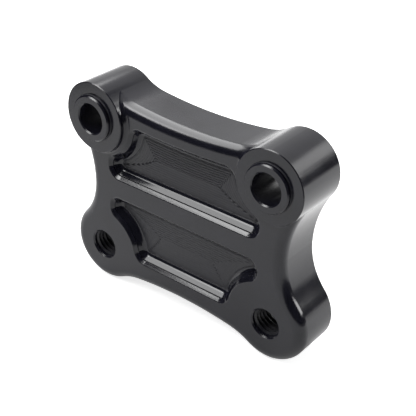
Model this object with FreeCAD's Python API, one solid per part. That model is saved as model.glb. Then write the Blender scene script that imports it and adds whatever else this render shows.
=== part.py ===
import FreeCAD, Part
import math
import os

from FreeCAD import Vector

# Motorcycle bar riser: one block machined from thick aluminium plate.
# X runs across the block, Y from its front to its back, and Z up.
# The origin is the middle of the block's box, at the foot of its two lower lobes.

# Driving dimensions, in millimetres.

# Hole layout: the spacing of the two upper and the two lower holes, and the rise between the rows.
upper_hole_spacing = 88.9
lower_hole_spacing = 88.9
rise = 63.5

# Thickness, from the back face to the front face, and what stands proud of the front.
body_depth = 21.4
boss_height = 2.8
collar_height = 2.0

# Outline: the round ends, and the hollow edges between them. The hollow edges run into each
# boss just inside its wall, so that the foot of the boss can be rounded all the way. The waist is
# the narrowest place: its overhang is measured outwards from midway between the two holes at its
# side, and its height from the line of the lower holes.
boss_radius = 15.3
neck_inset = 0.04
lobe_radius = 17.8
saddle_drop = 7.85
saddle_radius = 204.0
saddle_blend_radius = 23.0
waist_overhang = 5.95
waist_height = 31.2
arch_height = 7.5
arch_radius = 185.0
arch_blend_radius = 29.5

# Edges of the block.
front_round_radius = 4.3
boss_foot_radius = 2.0
boss_rim_chamfer = 0.3
back_edge_chamfer = 0.3

# Upper holes, plain and right through, with a turned collar round each mouth.
bore_radius = 6.5
bore_mouth_chamfer = 0.5
collar_radius = 9.95
collar_chamfer = 0.5
collar_foot_radius = 0.3

# Lower holes, bored to the outer diameter of a half-inch coarse thread.
thread_radius = 6.35
thread_mouth_chamfer = 0.6

# Pockets in the front face. Their outlines are given at the mouth, outside the chamfer. Each end
# is an arc about the hole beside it, which runs into the rounded corner next to the rib. That
# corner is the widest place, and the setback is its distance from the line of the holes. Below
# the chamfer the wall is upright for the height of the lip, then leans in by the run to the floor.
pocket_depth = 4.5
pocket_chamfer = 1.25
pocket_lip_height = 0.4
pocket_wall_run = 1.8
pocket_floor_radius = 2.5
pocket_end_setback = 5.0
upper_pocket_top_drop = 15.8
upper_pocket_top_radius = 313.0
upper_pocket_top_corner_radius = 5.5
upper_pocket_bottom_drop = 42.0
upper_pocket_bottom_corner_radius = 5.9
rib_width = 9.25
lower_pocket_bottom_height = 17.2
lower_pocket_corner_radius = 5.5

# Places worked out from the driving dimensions.
hole_z = lobe_radius
bore_z = hole_z + rise
top_z = bore_z + boss_radius
back_y = (body_depth + boss_height + collar_height) / 2
face_y = back_y - body_depth
boss_y = face_y - boss_height
collar_y = boss_y - collar_height
bore_centre = Vector(upper_hole_spacing / 2, 0, bore_z)
hole_centre = Vector(lower_hole_spacing / 2, 0, hole_z)
neck_radius = boss_radius - neck_inset
rib_top_z = top_z - upper_pocket_bottom_drop
rib_foot_z = rib_top_z - rib_width
backwards = Vector(0, 1, 0)
middle = Vector(0, 0, 0)
across = Vector(1, 0, 0)


def crossings(first_centre, first_radius, second_centre, second_radius):
    """The two points where two circles in the XZ plane cross."""
    line = second_centre - first_centre
    span = line.Length
    along = (span**2 + first_radius**2 - second_radius**2) / (2 * span)
    aside = math.sqrt(first_radius**2 - along**2)
    step = line * (1 / span)
    normal = Vector(-step.z, 0, step.x)
    foot = first_centre + step * along
    return foot + normal * aside, foot - normal * aside


def toward(start, target, distance):
    """The point at a distance from start, on the line to target."""
    line = target - start
    return start + line * (distance / line.Length)


def hollow_centre(waist, end_centre, end_radius):
    """The centre of a hollow edge that is upright at the waist and runs into a round end."""
    aside = waist.x - end_centre.x
    along = waist.z - end_centre.z
    radius = (aside**2 + along**2 - end_radius**2) / (2 * (end_radius - aside))
    return waist + Vector(radius, 0, 0)


def mirrored(point):
    """The same point on the left half of the block."""
    return Vector(-point.x, point.y, point.z)


def arc(centre, start, end, clockwise):
    """A round edge about centre from start to end, seen from the front."""
    first = math.atan2(start.z - centre.z, start.x - centre.x)
    last = math.atan2(end.z - centre.z, end.x - centre.x)
    if clockwise and last > first:
        last -= 2 * math.pi
    if not clockwise and last < first:
        last += 2 * math.pi
    half_way = (first + last) / 2
    radius = (start - centre).Length
    through = centre + Vector(radius * math.cos(half_way), 0, radius * math.sin(half_way))
    return Part.Arc(start, through, end).toShape()


def symmetric_face(middle_edges, right_edges):
    """A flat face from the edges that cross the middle and those of the right half."""
    left_edges = [edge.mirror(middle, across) for edge in right_edges]
    ordered = Part.__sortEdges__(middle_edges + right_edges + left_edges)
    return Part.Face(Part.Wire(ordered))


def at_both_sides(solid):
    """The solid and its mirror image."""
    return [solid, solid.mirror(middle, across)]


def cylinder(radius, centre, start_y, end_y):
    """A round bar along Y."""
    base = Vector(centre.x, start_y, centre.z)
    return Part.makeCylinder(radius, end_y - start_y, base, backwards)


def turned(profile, centre):
    """A solid turned about the line along Y through centre, from points of radius and Y."""
    points = [centre + Vector(radius, y, 0) for radius, y in profile]
    face = Part.Face(Part.makePolygon(points + points[:1]))
    return face.revolve(centre, backwards, 360)


def plate_face():
    """The outline of the block's body, left open inside each boss."""
    saddle_centre = Vector(0, 0, top_z - saddle_drop + saddle_radius)
    saddle_blend = min(
        crossings(
            saddle_centre,
            saddle_radius - saddle_blend_radius,
            bore_centre,
            neck_radius + saddle_blend_radius,
        ),
        key=lambda point: point.x,
    )
    side_middle = (bore_centre + hole_centre) * 0.5
    waist = Vector(side_middle.x + waist_overhang, 0, hole_z + waist_height)
    upper_side = hollow_centre(waist, bore_centre, neck_radius)
    lower_side = hollow_centre(waist, hole_centre, lobe_radius)
    arch_centre = Vector(0, 0, arch_height - arch_radius)
    arch_blend = min(
        crossings(
            arch_centre,
            arch_radius - arch_blend_radius,
            hole_centre,
            lobe_radius + arch_blend_radius,
        ),
        key=lambda point: point.x,
    )
    saddle_end = toward(saddle_centre, saddle_blend, saddle_radius)
    boss_top = toward(bore_centre, saddle_blend, neck_radius)
    boss_side = toward(bore_centre, upper_side, neck_radius)
    lobe_side = toward(hole_centre, lower_side, lobe_radius)
    lobe_foot = toward(hole_centre, arch_blend, lobe_radius)
    arch_end = toward(arch_centre, arch_blend, arch_radius)
    middle_edges = [
        arc(saddle_centre, mirrored(saddle_end), saddle_end, False),
        arc(arch_centre, arch_end, mirrored(arch_end), False),
    ]
    right_edges = [
        arc(saddle_blend, saddle_end, boss_top, False),
        Part.makeLine(boss_top, bore_centre),
        Part.makeLine(bore_centre, boss_side),
        arc(upper_side, boss_side, waist, False),
        arc(lower_side, waist, lobe_side, False),
        arc(hole_centre, lobe_side, lobe_foot, True),
        arc(arch_blend, lobe_foot, arch_end, False),
    ]
    return symmetric_face(middle_edges, right_edges)


def edges_at(shape, y):
    """The edges of a shape that lie flat at a given Y."""
    found = []
    for edge in shape.Edges:
        span = edge.LastParameter - edge.FirstParameter
        points = [edge.valueAt(edge.FirstParameter + span * share) for share in (0, 0.5, 1)]
        if all(abs(point.y - y) < 1e-5 for point in points):
            found.append(edge)
    return found


def radius_about(centre, point):
    """How far a point lies from the centre line of a hole, on either side of the block."""
    return math.hypot(abs(point.x) - centre.x, point.z - centre.z)


def boss_foot_edges(body):
    """The edges where the bosses rise out of the body's front."""
    found = []
    for edge in body.Edges:
        span = edge.LastParameter - edge.FirstParameter
        inner = [edge.valueAt(edge.FirstParameter + span * share) for share in (0.25, 0.5, 0.75)]
        on_boss = all(abs(radius_about(bore_centre, point) - boss_radius) < 1e-3 for point in inner)
        in_front = all(
            boss_y + boss_height / 2 < point.y < face_y + front_round_radius for point in inner
        )
        if on_boss and in_front:
            found.append(edge)
    return found


def body_with_bosses():
    """The body with its rounded front edge and the two full-depth bosses."""
    face = plate_face()
    face.translate(Vector(0, face_y, 0))
    plate = face.extrude(Vector(0, body_depth, 0))
    perimeter = [edge for edge in edges_at(plate, face_y) if hasattr(edge.Curve, "Radius")]
    plate = plate.makeFillet(front_round_radius, perimeter)
    bosses = at_both_sides(cylinder(boss_radius, bore_centre, boss_y, back_y))
    body = plate.fuse(bosses).removeSplitter().Solids[0]
    body = body.makeFillet(boss_foot_radius, boss_foot_edges(body))
    body = body.makeChamfer(boss_rim_chamfer, edges_at(body, boss_y))
    return body.makeChamfer(back_edge_chamfer, edges_at(body, back_y)).Solids[0]


def collar():
    """The collar on the right boss, with a chamfered rim and a hollow foot."""
    inside_y = boss_y + boss_height / 2
    ring = turned(
        [
            (0, collar_y),
            (collar_radius - collar_chamfer, collar_y),
            (collar_radius, collar_y + collar_chamfer),
            (collar_radius, inside_y),
            (0, inside_y),
        ],
        bore_centre,
    )
    skirt_radius = collar_radius + collar_foot_radius
    skirt = cylinder(skirt_radius, bore_centre, boss_y - collar_foot_radius, inside_y)
    groove = Part.makeTorus(
        skirt_radius,
        collar_foot_radius,
        Vector(bore_centre.x, boss_y - collar_foot_radius, bore_centre.z),
        backwards,
    )
    return ring.fuse(skirt.cut(groove))


def hole(centre, radius, mouth_chamfer, front_y):
    """A hole right through the block, with a chamfer at each mouth."""
    over = 1.0
    wide = radius + mouth_chamfer + over
    return turned(
        [
            (0, front_y - over),
            (wide, front_y - over),
            (radius, front_y + mouth_chamfer),
            (radius, back_y - mouth_chamfer),
            (wide, back_y + over),
            (0, back_y + over),
        ],
        centre,
    )


def upper_pocket_face(inset):
    """The upper pocket's outline, drawn in from its mouth by inset."""
    top_corner = upper_pocket_top_corner_radius
    bottom_corner = upper_pocket_bottom_corner_radius
    corner_x = bore_centre.x - pocket_end_setback - bottom_corner
    lower_corner = Vector(corner_x, 0, rib_top_z + bottom_corner)
    end_radius = (lower_corner - bore_centre).Length - bottom_corner
    top_centre = Vector(0, 0, top_z - upper_pocket_top_drop + upper_pocket_top_radius)
    upper_corner = min(
        crossings(
            top_centre,
            upper_pocket_top_radius + top_corner,
            bore_centre,
            end_radius + top_corner,
        ),
        key=lambda point: point.x,
    )
    top_end = toward(top_centre, upper_corner, upper_pocket_top_radius + inset)
    end_top = toward(bore_centre, upper_corner, end_radius + inset)
    end_foot = toward(bore_centre, lower_corner, end_radius + inset)
    bottom_end = Vector(lower_corner.x, 0, rib_top_z + inset)
    middle_edges = [
        arc(top_centre, mirrored(top_end), top_end, False),
        Part.makeLine(bottom_end, mirrored(bottom_end)),
    ]
    right_edges = [
        arc(upper_corner, top_end, end_top, True),
        arc(bore_centre, end_top, end_foot, False),
        arc(lower_corner, end_foot, bottom_end, True),
    ]
    return symmetric_face(middle_edges, right_edges)


def lower_pocket_face(inset):
    """The lower pocket's outline, drawn in from its mouth by inset."""
    corner = lower_pocket_corner_radius
    foot_z = lower_pocket_bottom_height
    corner_x = hole_centre.x - pocket_end_setback - corner
    upper_corner = Vector(corner_x, 0, rib_foot_z - corner)
    end_radius = (upper_corner - hole_centre).Length - corner
    corner_rise = foot_z + corner - hole_z
    corner_reach = math.sqrt((end_radius + corner) ** 2 - corner_rise**2)
    lower_corner = Vector(hole_centre.x - corner_reach, 0, foot_z + corner)
    top_end = Vector(upper_corner.x, 0, rib_foot_z - inset)
    end_top = toward(hole_centre, upper_corner, end_radius + inset)
    end_foot = toward(hole_centre, lower_corner, end_radius + inset)
    bottom_end = Vector(lower_corner.x, 0, foot_z + inset)
    middle_edges = [
        Part.makeLine(mirrored(top_end), top_end),
        Part.makeLine(bottom_end, mirrored(bottom_end)),
    ]
    right_edges = [
        arc(upper_corner, top_end, end_top, True),
        arc(hole_centre, end_top, end_foot, False),
        arc(lower_corner, end_foot, bottom_end, True),
    ]
    return symmetric_face(middle_edges, right_edges)


def pocket(outline):
    """What is milled out of the front face: a chamfer, a lip, leaning walls and a floor."""
    lip_y = face_y + pocket_chamfer
    wall_y = lip_y + pocket_lip_height
    floor_y = face_y + pocket_depth

    def at(inset, y):
        face = outline(inset)
        face.translate(Vector(0, y, 0))
        return face

    bevel = Part.makeLoft(
        [at(0, face_y).OuterWire, at(pocket_chamfer, lip_y).OuterWire], True, True
    )
    lip = at(pocket_chamfer, lip_y).extrude(Vector(0, pocket_lip_height, 0))
    foot = at(pocket_chamfer + pocket_wall_run, floor_y)
    well = Part.makeLoft([at(pocket_chamfer, wall_y).OuterWire, foot.OuterWire], True, True)
    well = well.makeFillet(pocket_floor_radius, edges_at(well, floor_y))
    return well.fuse([lip, bevel])


def riser_block():
    """The whole block."""
    block = body_with_bosses()
    block = block.fuse(at_both_sides(collar()))
    holes = at_both_sides(hole(bore_centre, bore_radius, bore_mouth_chamfer, collar_y))
    holes += at_both_sides(hole(hole_centre, thread_radius, thread_mouth_chamfer, face_y))
    pockets = [pocket(upper_pocket_face), pocket(lower_pocket_face)]
    return block.cut(holes + pockets).removeSplitter().Solids[0]


os.makedirs("parts", exist_ok=True)
block = riser_block()
print("riser_block", block.isValid(), round(block.Volume), block.BoundBox)
block.exportStep("parts/riser_block.step")
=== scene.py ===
import math

import bpy
from mathutils import Euler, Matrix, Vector


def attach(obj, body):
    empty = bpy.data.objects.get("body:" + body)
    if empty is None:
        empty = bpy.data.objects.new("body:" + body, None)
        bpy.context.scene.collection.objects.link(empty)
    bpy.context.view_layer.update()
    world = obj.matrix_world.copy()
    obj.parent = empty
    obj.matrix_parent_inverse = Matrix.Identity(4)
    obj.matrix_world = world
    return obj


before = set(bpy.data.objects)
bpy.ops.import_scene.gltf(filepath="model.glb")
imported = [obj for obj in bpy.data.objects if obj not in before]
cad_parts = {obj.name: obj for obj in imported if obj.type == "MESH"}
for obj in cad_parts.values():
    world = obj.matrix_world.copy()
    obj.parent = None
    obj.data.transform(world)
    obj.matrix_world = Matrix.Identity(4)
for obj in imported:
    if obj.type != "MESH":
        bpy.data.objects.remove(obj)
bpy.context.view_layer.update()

MM = 0.001

# The places of the part's features, in millimetres in the row frame.
HOLE_X = 44.45
BORE_Z = 81.3
HOLE_Z = 17.8
BORE_REACH = 6.8
COLLAR_RADIUS = 9.95
COLLAR_Y = -13.1
BOSS_Y = -11.1
FACE_Y = -8.3
FLOOR_Y = -3.8
BACK_Y = 13.1

# The thread of the lower holes: a half-inch bolt with thirteen turns to the inch.
THREAD_PITCH = 25.4 / 13
THREAD_OUTER = 6.36
THREAD_INNER = 5.5
THREAD_START = FACE_Y + 0.75
THREAD_END = BACK_Y - 0.65
THREAD_HALF_ROOT = THREAD_PITCH * 0.36
THREAD_HALF_CREST = THREAD_PITCH / 16
TURN_STEPS = 56
LEAD_STEPS = TURN_STEPS * 0.5

# The outlines of the pockets at their mouths.
RIB_Z = 50.0
UPPER_TOP_CENTRE_Z = 393.8
UPPER_TOP_RADIUS = 313.0
UPPER_FOOT_Z = 54.6
UPPER_END_RADIUS = 17.583
LOWER_TOP_Z = 45.35
LOWER_FOOT_Z = 17.2
LOWER_END_RADIUS = 18.922
POCKET_REACH = 39.6
# Each corner of the right half: its centre, its radius, the height of the hole that the pocket's
# end is drawn about, and 1 where the arc turns upwards from that end, or -1 downwards.
POCKET_CORNERS = (
    (21.97, 76.06, 5.5, BORE_Z, 1),
    (33.55, 60.5, 5.9, BORE_Z, -1),
    (33.95, 39.85, 5.5, HOLE_Z, 1),
    (20.53, 22.7, 5.5, HOLE_Z, -1),
)

# The cutter's marks on the pocket floors: its paths, the mitres between them, the seam along the
# middle of the upper floor and the path nearest to the walls.
FIRST_PATH = 4.35
PATH_PITCH = 1.05
PATH_DEPTH = 0.18
TOP_STRENGTH = 1.0
FOOT_STRENGTH = 0.22
END_STRENGTH = 0.26
LOWER_STRENGTH = 0.35
MITRE_DEPTH = 0.35
SEAM_WIDTH = 0.6
SEAM_DEPTH = 0.2
SEAM_FADE = 14.0
FIRST_DEPTH = 0.12

# The marks on the pockets' edges and walls.
LIP_WIDTH = 0.55
LIP_CURVE = 0.9
LEDGE_Y = FACE_Y + 1.45
LEDGE_WIDTH = 0.30
LEDGE_DEPTH = 0.45
HOLLOW_START_Y = -7.05
HOLLOW_FULL_Y = -6.65
HOLLOW_END_Y = -4.97
HOLLOW_SLOPE = 0.07

# The depths of the fine marks over the whole block.
STREAK_DEPTH = 0.014
FRONT_ARC_DEPTH = 0.0016
BACK_ARC_DEPTH = 0.006
RING_DEPTH = 0.0030
DRILL_DEPTH = 0.0015
GRAIN_DEPTH = 0.0007

# Roughness: the least and the most of the plain finish, and what each place adds to it.
ROUGH_LOW = 0.165
ROUGH_HIGH = 0.20
GRAIN_ROUGHER = 0.02
FLOOR_ROUGHER = 0.13
MARKS_ROUGHER = 0.20
WALL_SMOOTHER = -0.07
BORE_ROUGHER = 0.05
CREASE_ROUGHER = 0.45

# The studio.
MIDDLE = Vector((0, 0, 0.048))
FLOOR_REACH = 8.0
FLOOR_DROP = 0.0002
WORLD_FILL = 0.2
CAMERA_GLOW = 0.76
FLOOR_GLOW = 0.08
FAR_GLOW = 0.9
BACK_GLOW = 0.68
LAMP_DISTANCE = 1.0
# Each lamp: its name, azimuth, elevation, width, height, radiance and shape.
LAMPS = (
    ("left_light", -82, 58, 1.84, 0.60, 5.2, "ELLIPSE"),
    ("end_light", -44, 46, 0.20, 0.34, 3.8, "RECTANGLE"),
    ("fill_light", -25, 48, 0.38, 0.18, 3.0, "RECTANGLE"),
    ("rim_light", 118, 21, 0.58, 0.25, 8.0, "RECTANGLE"),
    ("back_light", 151, 31, 0.40, 0.28, 2.6, "RECTANGLE"),
)
# The corners of the cards whose edges aren't level. First the azimuth and the top's elevation;
# then the azimuth, the foot's radius and height, and the top's elevation.
NEAR_CARD = ((-48, 40), (-44, 39.5), (-42.5, 33), (-39, 34), (-30, 41), (-12, 43))
LOW_CARD = (
    (100, 0.27, 0.0, 11.5),
    (112, 0.27, 0.0, 11.5),
    (122, 0.3, 0.0, 11.5),
    (128, 0.5, 0.03, 17),
    (134, 0.58, 0.055, 18.5),
    (142, 0.58, 0.055, 18.5),
    (152, 0.58, 0.055, 15),
)
CARDS = {
    "left_card": [(a, 0.27, 0.0, 0.6, 37) for a in range(-112, -47, 8)],
    "near_card": [(a, 0.27, 0.0, 0.6, top) for a, top in NEAR_CARD],
    "front_card": [(a, 0.27, 0.0, 0.45, 72) for a in range(-12, 101, 8)],
    "low_card": [(a, radius, height, 0.6, top) for a, radius, height, top in LOW_CARD],
    "high_card": [(a, 0.6, 0.41, 0.6, 62) for a in range(98, 139, 8)],
    "top_card": [(a, 0.6, 0.78, 0.6, 66) for a in range(138, 179, 8)],
}

CAMERA_PLACE = (0.208286, -0.252574, 0.247431)
CAMERA_TURN = (58.9595, -1.0647, 39.0691)
CAMERA_LENS = 80.417


def link(obj):
    bpy.context.scene.collection.objects.link(obj)
    return obj


def thread_ridge(name, centre_x):
    """A right-hand ridge wound up the wall of a lower hole, as a closed strip."""
    turns = (THREAD_END - THREAD_START - 2 * THREAD_HALF_ROOT) / THREAD_PITCH
    count = int(turns * TURN_STEPS)
    profile = (
        (THREAD_OUTER, -THREAD_HALF_ROOT),
        (THREAD_INNER, -THREAD_HALF_CREST),
        (THREAD_INNER, THREAD_HALF_CREST),
        (THREAD_OUTER, THREAD_HALF_ROOT),
    )
    verts = []
    for i in range(count + 1):
        angle = 2 * math.pi * i / TURN_STEPS
        y = THREAD_START + THREAD_HALF_ROOT + THREAD_PITCH * i / TURN_STEPS
        lead = min(1.0, i / LEAD_STEPS, (count - i) / LEAD_STEPS)
        for radius, dy in profile:
            r = THREAD_OUTER + (radius - THREAD_OUTER) * lead
            place = (centre_x + r * math.cos(angle), y + dy, HOLE_Z + r * math.sin(angle))
            verts.append(tuple(c * MM for c in place))
    size = len(profile)
    faces = []
    for i in range(count):
        for j in range(size):
            k = (j + 1) % size
            a, b = i * size + j, i * size + k
            faces.append((a, b, b + size, a + size))
    faces.append(tuple(range(size - 1, -1, -1)))
    faces.append(tuple(count * size + j for j in range(size)))
    mesh = bpy.data.meshes.new(name)
    mesh.from_pydata(verts, [], faces)
    mesh.validate()
    return link(bpy.data.objects.new(name, mesh))


# Materials.


class Nodes:
    """A material's node tree, with short calls for the nodes that it needs."""

    def __init__(self, name):
        self.material = bpy.data.materials.new(name)
        self.material.use_nodes = True
        self.tree = self.material.node_tree
        self.tree.nodes.clear()
        self.output = self.add("ShaderNodeOutputMaterial")

    def add(self, kind, **settings):
        node = self.tree.nodes.new(kind)
        for key, value in settings.items():
            setattr(node, key, value)
        return node

    def join(self, source, target):
        self.tree.links.new(source, target)

    def put(self, socket, value):
        if hasattr(value, "is_linked"):
            self.join(value, socket)
        else:
            socket.default_value = value

    def math(self, operation, a, b=0.0, c=0.0, clamp=False):
        node = self.add("ShaderNodeMath", operation=operation, use_clamp=clamp)
        for socket, value in zip(node.inputs, (a, b, c)):
            self.put(socket, value)
        return node.outputs[0]

    def minus(self, a, b):
        return self.math("SUBTRACT", a, b)

    def above(self, a, b):
        return self.math("GREATER_THAN", a, b)

    def below(self, a, b):
        return self.math("LESS_THAN", a, b)

    def product(self, first, *others):
        for other in others:
            first = self.math("MULTIPLY", first, other)
        return first

    def total(self, first, *others):
        for other in others:
            first = self.math("ADD", first, other)
        return first

    def length(self, a, b):
        squares = self.math("MULTIPLY_ADD", a, a, self.math("MULTIPLY", b, b))
        return self.math("SQRT", squares)

    def choose(self, which, low, high):
        """The first value where which is 0, and the second where it is 1."""
        return self.math("MULTIPLY_ADD", which, self.minus(high, low), low)

    def ramp(self, value, start, end, low=0.0, high=1.0):
        node = self.add("ShaderNodeMapRange", interpolation_type="SMOOTHSTEP")
        self.put(node.inputs["Value"], value)
        node.inputs["From Min"].default_value = start
        node.inputs["From Max"].default_value = end
        node.inputs["To Min"].default_value = low
        node.inputs["To Max"].default_value = high
        return node.outputs[0]

    def line(self, value, half_width):
        """1 where the value is nought, falling to 0 at half_width on either side."""
        return self.ramp(self.math("ABSOLUTE", value), half_width, 0.0)

    def split(self, vector):
        node = self.add("ShaderNodeSeparateXYZ")
        self.join(vector, node.inputs[0])
        return node.outputs

    def vector(self, x, y, z):
        node = self.add("ShaderNodeCombineXYZ")
        for socket, value in zip(node.inputs, (x, y, z)):
            self.put(socket, value)
        return node.outputs[0]

    def noise(self, place, scale, detail=1.0):
        node = self.add("ShaderNodeTexNoise")
        self.join(place, node.inputs["Vector"])
        node.inputs["Scale"].default_value = scale
        node.inputs["Detail"].default_value = detail
        return node.outputs["Fac"]

    def diffuse(self, shade):
        node = self.add("ShaderNodeBsdfDiffuse")
        node.inputs["Color"].default_value = (shade, shade, shade, 1)
        return node.outputs[0]


def anodised_shader(n, tone, roughness, relief):
    """Black anodised aluminium; tone and roughness vary over it, and relief is in millimetres."""
    colour = n.add("ShaderNodeMix", data_type="RGBA")
    n.put(colour.inputs["Factor"], tone)
    colour.inputs["A"].default_value = (0.0055, 0.0055, 0.0092, 1)
    colour.inputs["B"].default_value = (0.0105, 0.0105, 0.0165, 1)
    bump = n.add("ShaderNodeBump")
    bump.inputs["Distance"].default_value = MM
    n.put(bump.inputs["Height"], relief)
    shader = n.add("ShaderNodeBsdfPrincipled")
    shader.inputs["IOR"].default_value = 1.5
    n.join(colour.outputs["Result"], shader.inputs["Base Color"])
    n.put(shader.inputs["Roughness"], roughness)
    n.join(bump.outputs[0], shader.inputs["Normal"])
    n.join(shader.outputs[0], n.output.inputs[0])
    return n.material


def place_in_mm(n):
    """The part's own coordinates in millimetres, and how far a surface faces front or back."""
    coordinates = n.add("ShaderNodeTexCoord")
    scaled = n.add("ShaderNodeVectorMath", operation="SCALE")
    n.join(coordinates.outputs["Object"], scaled.inputs[0])
    scaled.inputs["Scale"].default_value = 1 / MM
    return scaled.outputs[0], n.split(coordinates.outputs["Normal"])[1]


def pocket_distances(n, x, z, upper, bore_distance, hole_distance):
    """How far a point lies inside a pocket's outline.

    The distances are from its top, from its foot, from its nearer end, and from the nearest of
    all its edges with the rounded corners.
    """
    top_distance = n.length(x, n.minus(z, UPPER_TOP_CENTRE_Z))
    from_top = n.choose(upper, n.minus(LOWER_TOP_Z, z), n.minus(top_distance, UPPER_TOP_RADIUS))
    from_foot = n.minus(z, n.choose(upper, LOWER_FOOT_Z, UPPER_FOOT_Z))
    from_end = n.choose(
        upper,
        n.minus(hole_distance, LOWER_END_RADIUS),
        n.minus(bore_distance, UPPER_END_RADIUS),
    )
    inside = n.math("MINIMUM", n.math("MINIMUM", from_top, from_foot), from_end)
    across = n.math("ABSOLUTE", x)
    for corner_x, corner_z, radius, end_z, turns in POCKET_CORNERS:
        # Past the ends of a corner's arc the nearest edge is straight or an end's own arc.
        right = n.minus(across, corner_x)
        above = n.minus(z, corner_z)
        beside = n.minus(
            n.product(above, (HOLE_X - corner_x) * turns),
            n.product(right, (end_z - corner_z) * turns),
        )
        own = upper if end_z > RIB_Z else n.minus(1.0, upper)
        here = n.product(n.above(right, 0.0), n.above(beside, 0.0), own)
        inside = n.choose(here, inside, n.minus(radius, n.length(right, above)))
    return from_top, from_foot, from_end, inside


def floor_marks(n, place, floor, upper, from_top, from_foot, from_end, inside):
    """Where the cutter marked the pocket floors, from 0 to 1, and how deep, in millimetres."""
    level = n.noise(place, 0.55, 2.0)
    beat = n.noise(place, 1.7)
    path = n.math("FRACT", n.math("DIVIDE", n.minus(inside, FIRST_PATH), PATH_PITCH))
    groove = n.line(n.minus(path, 0.5), 0.34)
    from_rows = n.math("MINIMUM", from_top, from_foot)
    top_zone = n.ramp(n.minus(from_foot, from_top), -0.3, 0.3)
    end_zone = n.ramp(n.minus(from_rows, from_end), -0.3, 0.3)
    strength = n.product(
        n.choose(end_zone, n.choose(top_zone, FOOT_STRENGTH, TOP_STRENGTH), END_STRENGTH),
        n.choose(upper, LOWER_STRENGTH, 1.0),
        n.ramp(n.total(level, beat), 0.7, 1.3, 0.45, 1.2),
    )
    started = n.ramp(inside, FIRST_PATH - 0.2, FIRST_PATH + 0.2)

    seam_offset = n.minus(from_top, from_foot)
    between = n.product(n.ramp(n.minus(from_end, from_rows), 0.0, 0.5), upper)
    seam = n.product(n.line(seam_offset, SEAM_WIDTH), between)
    step = n.product(
        n.ramp(seam_offset, -SEAM_WIDTH, SEAM_WIDTH),
        n.ramp(seam_offset, SEAM_FADE, SEAM_WIDTH),
        between,
    )
    mitre = n.product(
        n.line(n.minus(from_rows, from_end), 1.0),
        n.line(n.minus(path, 0.5), 0.32),
        n.choose(top_zone, 1.0, 0.5),
        n.choose(upper, 0.3, 1.0),
    )
    first = n.line(n.minus(inside, FIRST_PATH), 0.22)

    marks = n.product(floor, started, n.total(n.product(groove, strength), mitre, seam))
    cut = n.total(
        n.product(groove, strength, PATH_DEPTH),
        n.product(mitre, MITRE_DEPTH),
        n.product(step, SEAM_DEPTH),
    )
    cut = n.product(floor, n.total(n.product(cut, started), n.product(first, FIRST_DEPTH)))
    return marks, cut


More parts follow.
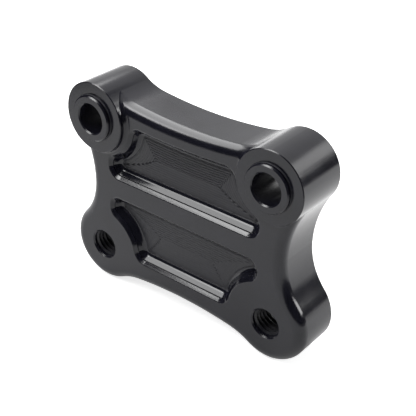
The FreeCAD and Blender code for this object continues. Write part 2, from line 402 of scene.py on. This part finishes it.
def milled_black():
    """The block: cutter paths on the pocket floors, streaks on the walls and faced flats."""
    n = Nodes("black_anodised_milled")
    place, turn = place_in_mm(n)
    x, y, z = n.split(place)
    facing = n.math("ABSOLUTE", turn)
    front = n.ramp(turn, -0.90, -0.985)
    flat = n.ramp(facing, 0.90, 0.985)
    wall = n.ramp(facing, 0.95, 0.6)
    floor = n.product(front, n.above(y, FLOOR_Y - 1.0))
    face = n.product(front, n.below(y, FACE_Y + 0.2))
    upper = n.above(z, RIB_Z)
    side = n.minus(n.math("ABSOLUTE", x), HOLE_X)
    bore_distance = n.length(side, n.minus(z, BORE_Z))
    hole_distance = n.length(side, n.minus(z, HOLE_Z))
    from_top, from_foot, from_end, inside = pocket_distances(
        n, x, z, upper, bore_distance, hole_distance
    )
    marks, cut = floor_marks(n, place, floor, upper, from_top, from_foot, from_end, inside)

    # The mouth of each pocket has its sharp edge taken off.
    reach = n.below(n.math("ABSOLUTE", x), POCKET_REACH)
    lip = n.math("MAXIMUM", n.total(inside, LIP_WIDTH), 0.0)
    lip = n.math("MINIMUM", lip, LIP_WIDTH)
    lip = n.product(face, reach, lip, lip, LIP_CURVE)

    # A fine ledge runs along each pocket's lower wall where the mouth's cutter stopped. The upper
    # pocket's wall is a little hollow between that ledge and the fillet.
    walled = n.product(
        n.ramp(inside, 0.3, 0.6),
        n.above(y, FACE_Y + 0.1),
        n.below(y, FLOOR_Y - 0.05),
        reach,
    )
    on_foot = n.ramp(n.minus(from_foot, inside), 1.6, 0.8)
    ledge = n.product(n.line(n.minus(y, LEDGE_Y), LEDGE_WIDTH), walled, on_foot, LEDGE_DEPTH)
    hollow = n.product(
        n.minus(n.math("MINIMUM", y, HOLLOW_END_Y), HOLLOW_END_Y),
        n.ramp(y, HOLLOW_START_Y, HOLLOW_FULL_Y),
        walled,
        on_foot,
        upper,
        HOLLOW_SLOPE,
    )

    # Streaks cross the walls from front to back; the flats carry a facing cutter's faint arcs,
    # the collars a turning tool's rings, and the holes a drill's.
    streaks = n.noise(n.vector(n.product(x, 1.5), n.product(y, 0.05), n.product(z, 1.5)), 1.0, 3.0)
    sweep = n.length(n.total(x, 95.0), n.minus(z, 30.0))
    arcs = n.noise(n.vector(n.product(sweep, 1.1), n.product(z, 0.02), 0.0), 1.0, 2.0)
    arc_depth = n.ramp(turn, 0.0, 0.9, FRONT_ARC_DEPTH, BACK_ARC_DEPTH)
    rings = n.noise(n.vector(n.product(bore_distance, 2.4), 0.0, 0.0), 1.0, 2.0)
    turned = n.below(y, COLLAR_Y + 0.1)
    drill = n.noise(n.vector(n.product(y, 2.2), 0.0, 0.0), 1.0, 1.0)
    bored = n.below(n.math("MINIMUM", bore_distance, hole_distance), BORE_REACH)
    grain = n.noise(place, 3.0, 3.0)
    relief = n.total(
        n.product(streaks, wall, n.minus(1.0, bored), STREAK_DEPTH),
        n.product(arcs, flat, n.minus(1.0, turned), arc_depth),
        n.product(rings, flat, turned, RING_DEPTH),
        n.product(drill, wall, bored, DRILL_DEPTH),
        n.product(grain, GRAIN_DEPTH),
        hollow,
    )
    relief = n.minus(n.minus(relief, cut), n.total(lip, ledge))

    # The crease round each collar's foot is left duller.
    crease = n.product(
        n.line(n.minus(bore_distance, COLLAR_RADIUS + 0.1), 0.5),
        n.line(n.minus(y, BOSS_Y - 0.1), 0.5),
    )
    patches = n.noise(place, 0.09, 3.0)
    tone = n.total(n.ramp(patches, 0.35, 0.65, 0.25, 0.75), n.product(grain, 0.25))
    tone = n.math("SUBTRACT", tone, marks, clamp=True)
    roughness = n.total(
        n.ramp(patches, 0.3, 0.7, ROUGH_LOW, ROUGH_HIGH),
        n.product(grain, GRAIN_ROUGHER),
        n.product(floor, FLOOR_ROUGHER),
        n.product(marks, MARKS_ROUGHER),
        n.product(walled, n.minus(1.0, floor), WALL_SMOOTHER),
        n.product(wall, bored, BORE_ROUGHER),
        n.product(crease, CREASE_ROUGHER),
    )
    return anodised_shader(n, tone, roughness, relief)


def threaded_black():
    """The thread's turns, left a little duller by the tap."""
    n = Nodes("black_anodised_tapped")
    place, _ = place_in_mm(n)
    grain = n.noise(place, 2.5, 3.0)
    tone = n.ramp(grain, 0.35, 0.65, 0.0, 0.6)
    return anodised_shader(n, tone, n.ramp(grain, 0.3, 0.7, 0.34, 0.46), n.product(grain, 0.006))


def white_floor():
    """White boards: lit by the lamps, and lifted where the camera or a mirror sees them."""
    n = Nodes("floor_white")
    glow = n.add("ShaderNodeEmission")
    path = n.add("ShaderNodeLightPath")
    place = n.add("ShaderNodeTexCoord").outputs["Object"]
    distance = n.add("ShaderNodeVectorMath", operation="LENGTH")
    n.join(place, distance.inputs[0])
    away = n.ramp(distance.outputs["Value"], 0.3, 1.6, FLOOR_GLOW, FAR_GLOW)
    behind = n.ramp(n.split(place)[1], -0.02, 0.08, 0.0, BACK_GLOW)
    mirrored = n.math("MAXIMUM", path.outputs["Is Glossy Ray"], path.outputs["Is Transmission Ray"])
    level = n.product(mirrored, n.total(away, behind))
    near = n.ramp(distance.outputs["Value"], 0.3, 1.2, CAMERA_GLOW, 1.0)
    seen = n.product(path.outputs["Is Camera Ray"], near)
    n.join(n.total(level, seen), glow.inputs["Strength"])
    both = n.add("ShaderNodeAddShader")
    n.join(n.diffuse(0.8), both.inputs[0])
    n.join(glow.outputs[0], both.inputs[1])
    n.join(both.outputs[0], n.output.inputs[0])
    return n.material


def black_card():
    n = Nodes("card_black")
    n.join(n.diffuse(0.01), n.output.inputs[0])
    return n.material


# The studio's pieces.


def white_room():
    """The world: a white room, which the camera and mirrored rays see at full strength."""
    world = bpy.data.worlds.new("studio")
    bpy.context.scene.world = world
    world.use_nodes = True
    tree = world.node_tree
    background = tree.nodes["Background"]
    background.inputs["Color"].default_value = (1, 1, 1, 1)
    path = tree.nodes.new("ShaderNodeLightPath")
    seen = tree.nodes.new("ShaderNodeMath")
    seen.operation = "MAXIMUM"
    tree.links.new(path.outputs["Is Camera Ray"], seen.inputs[0])
    tree.links.new(path.outputs["Is Glossy Ray"], seen.inputs[1])
    strength = tree.nodes.new("ShaderNodeMapRange")
    tree.links.new(seen.outputs[0], strength.inputs["Value"])
    strength.inputs["To Min"].default_value = WORLD_FILL
    strength.inputs["To Max"].default_value = 1.0
    tree.links.new(strength.outputs[0], background.inputs["Strength"])


def direction(azimuth, elevation):
    """A unit vector; the azimuth runs from the block's front towards its right."""
    flat = math.cos(math.radians(elevation))
    return Vector(
        (
            flat * math.sin(math.radians(azimuth)),
            -flat * math.cos(math.radians(azimuth)),
            math.sin(math.radians(elevation)),
        )
    )


def soft_box(name, azimuth, elevation, width, height, radiance, shape):
    """A flat lamp that faces the block from a given direction."""
    lamp = bpy.data.lights.new(name, "AREA")
    lamp.shape = shape
    lamp.size = width
    lamp.size_y = height
    area = width * height * (math.pi / 4 if shape == "ELLIPSE" else 1)
    lamp.energy = radiance * area * math.pi
    obj = link(bpy.data.objects.new(name, lamp))
    away = direction(azimuth, elevation)
    obj.location = MIDDLE + away * LAMP_DISTANCE
    obj.rotation_euler = away.to_track_quat("Z", "Y").to_euler()
    obj.visible_camera = False


def card(name, corners, material):
    """A card round the block, seen only in its gloss.

    Each corner has an azimuth, the radius and height of the foot, and the radius and elevation
    of the top.
    """
    verts = []
    for azimuth, foot_radius, foot_height, top_radius, top_elevation in corners:
        out = direction(azimuth, 0)
        top = MIDDLE.z + top_radius * math.tan(math.radians(top_elevation))
        verts.append((out.x * foot_radius, out.y * foot_radius, foot_height))
        verts.append((out.x * top_radius, out.y * top_radius, top))
    faces = [(2 * i, 2 * i + 2, 2 * i + 3, 2 * i + 1) for i in range(len(corners) - 1)]
    mesh = bpy.data.meshes.new(name)
    mesh.from_pydata(verts, [], faces)
    mesh.materials.append(material)
    obj = link(bpy.data.objects.new(name, mesh))
    obj.visible_camera = False
    obj.visible_diffuse = False
    obj.visible_shadow = False
    obj.visible_transmission = False


# The block keeps the frame's own mesh and gets a finer material.
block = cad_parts["riser_block"]
block.data.materials[0] = milled_black()

tapped = threaded_black()
for side, name in ((-1, "thread_left"), (1, "thread_right")):
    ridge = thread_ridge(name, side * HOLE_X)
    ridge.data.materials.append(tapped)
    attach(ridge, "root")

# The floor.
floor_mesh = bpy.data.meshes.new("floor")
signs = ((-1, -1), (1, -1), (1, 1), (-1, 1))
floor_corners = [(x * FLOOR_REACH, y * FLOOR_REACH, 0) for x, y in signs]
floor_mesh.from_pydata(floor_corners, [], [(0, 1, 2, 3)])
floor_mesh.materials.append(white_floor())
floor = link(bpy.data.objects.new("floor", floor_mesh))
floor.location.z = -FLOOR_DROP

# Light.
white_room()
for lamp in LAMPS:
    soft_box(*lamp)
dark_card = black_card()
for name, corners in CARDS.items():
    card(name, corners, dark_card)

# The camera.
camera_data = bpy.data.cameras.new("camera")
camera_data.sensor_width = 36.0
camera_data.lens = CAMERA_LENS
camera_data.clip_start = 0.01
camera = link(bpy.data.objects.new("camera", camera_data))
camera.location = CAMERA_PLACE
camera.rotation_euler = Euler([math.radians(a) for a in CAMERA_TURN], "XYZ")
bpy.context.scene.camera = camera
bpy.context.scene.view_settings.view_transform = "Standard"
